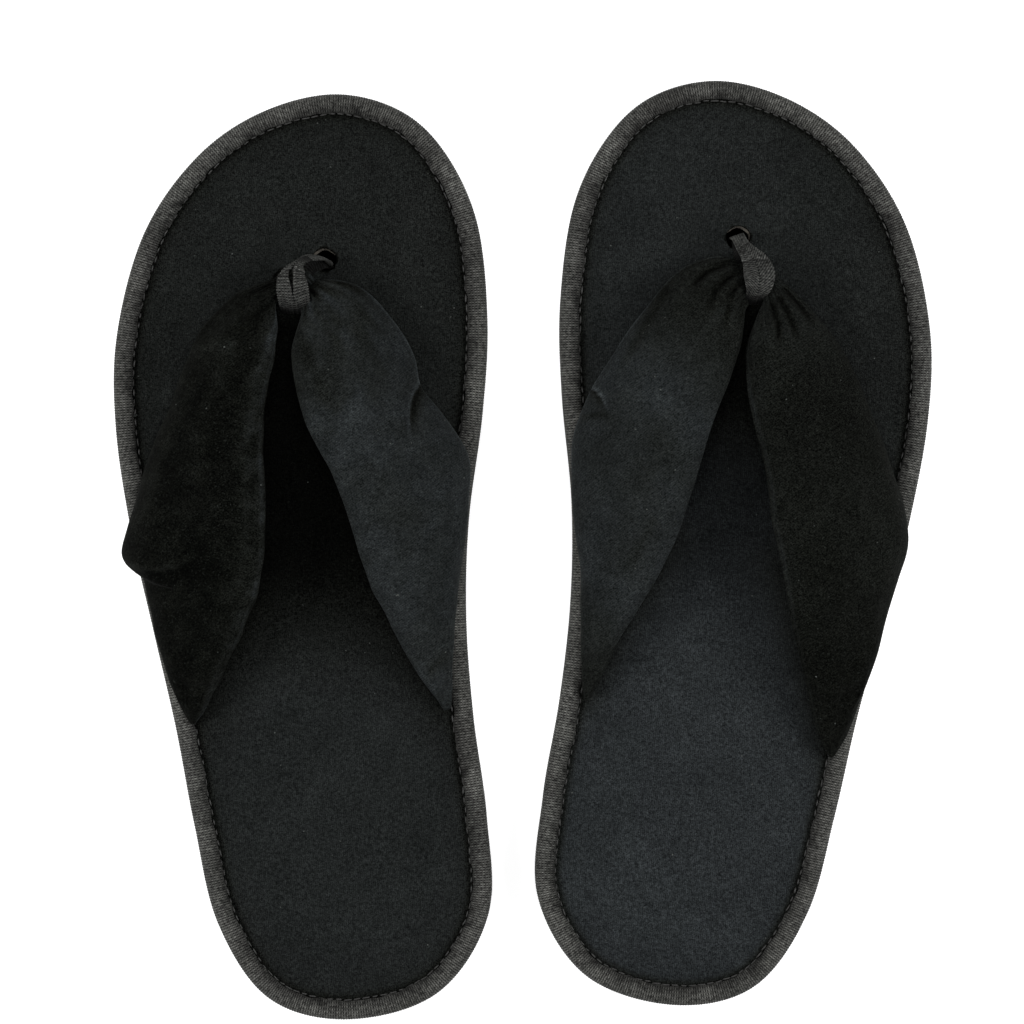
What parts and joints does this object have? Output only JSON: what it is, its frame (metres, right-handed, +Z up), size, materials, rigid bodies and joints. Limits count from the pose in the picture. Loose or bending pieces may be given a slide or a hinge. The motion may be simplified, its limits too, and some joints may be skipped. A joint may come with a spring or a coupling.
{
  "type": "pair of thong slippers",
  "caption": "Pair of flat black velvet spa slippers, each with a layered flexible sole, taped edge, padded V-strap and ribbon thong.",
  "frame": {"origin": "on the floor under the middle of the pair's bounding box", "axes": "+Z up, +Y from the heels to the toes, +X from the left slipper to the right slipper"},
  "size_m": [0.2479, 0.2843, 0.0366],
  "materials": {
    "velvet": "black velour pile laminated on thin foam",
    "strap_velvet": "black velour pile sewn into a padded tube",
    "binding_tape": "cross-ribbed woven tape, charcoal",
    "thread": "black sewing thread",
    "ribbon": "ribbed woven ribbon, dark grey",
    "outsole_eva": "matte black foamed EVA with cross grooves",
    "midsole_foam": "pale grey cushioning foam",
    "insole_board": "brown fibre board",
    "anchor_cloth": "coarse reinforcing cloth",
    "strap_wadding": "pale foam filling"
  },
  "bodies": {
    "left_forefoot": {"left_outsole_front": "outsole_eva", "left_midsole_front": "midsole_foam", "left_insole_board_front": "insole_board", "left_footbed_front": "velvet", "left_binding_front": "binding_tape", "left_binding_stitch_front": "thread", "left_thong_loop": "ribbon", "left_thong_anchor_patch": "anchor_cloth"},
    "left_heel": {"left_outsole_rear": "outsole_eva", "left_midsole_rear": "midsole_foam", "left_insole_board_rear": "insole_board", "left_footbed_rear": "velvet", "left_binding_rear": "binding_tape", "left_binding_stitch_rear": "thread", "left_strap_cover": "strap_velvet", "left_strap_pad_medial": "strap_wadding", "left_strap_pad_lateral": "strap_wadding"},
    "right_forefoot": {"right_outsole_front": "outsole_eva", "right_midsole_front": "midsole_foam", "right_insole_board_front": "insole_board", "right_footbed_front": "velvet", "right_binding_front": "binding_tape", "right_binding_stitch_front": "thread", "right_thong_loop": "ribbon", "right_thong_anchor_patch": "anchor_cloth"},
    "right_heel": {"right_outsole_rear": "outsole_eva", "right_midsole_rear": "midsole_foam", "right_insole_board_rear": "insole_board", "right_footbed_rear": "velvet", "right_binding_rear": "binding_tape", "right_binding_stitch_rear": "thread", "right_strap_cover": "strap_velvet", "right_strap_pad_medial": "strap_wadding", "right_strap_pad_lateral": "strap_wadding"}
  },
  "joints": [
    {"name": "left_sole_flex", "type": "hinge", "parent": "left_forefoot", "child": "left_heel", "pos_m": [-0.06683, 0.04357, 0.0132], "axis": [-0.9995, -0.0332, 0], "range_deg": [0, 45], "stiffness_Nm_per_rad": 0.3, "deforming": ["left_strap_cover", "left_strap_pad_medial", "left_strap_pad_lateral"]},
    {"name": "right_slipper_lift", "type": "slide", "parent": "left_forefoot", "child": "right_forefoot", "axis": [0, 0, 1], "range_m": [0, 0.15]},
    {"name": "right_sole_flex", "type": "hinge", "parent": "right_forefoot", "child": "right_heel", "pos_m": [0.06641, 0.04729, 0.0132], "axis": [-0.9976, 0.0698, 0], "range_deg": [0, 45], "stiffness_Nm_per_rad": 0.3, "deforming": ["right_strap_cover", "right_strap_pad_medial", "right_strap_pad_lateral"]}
  ]
}
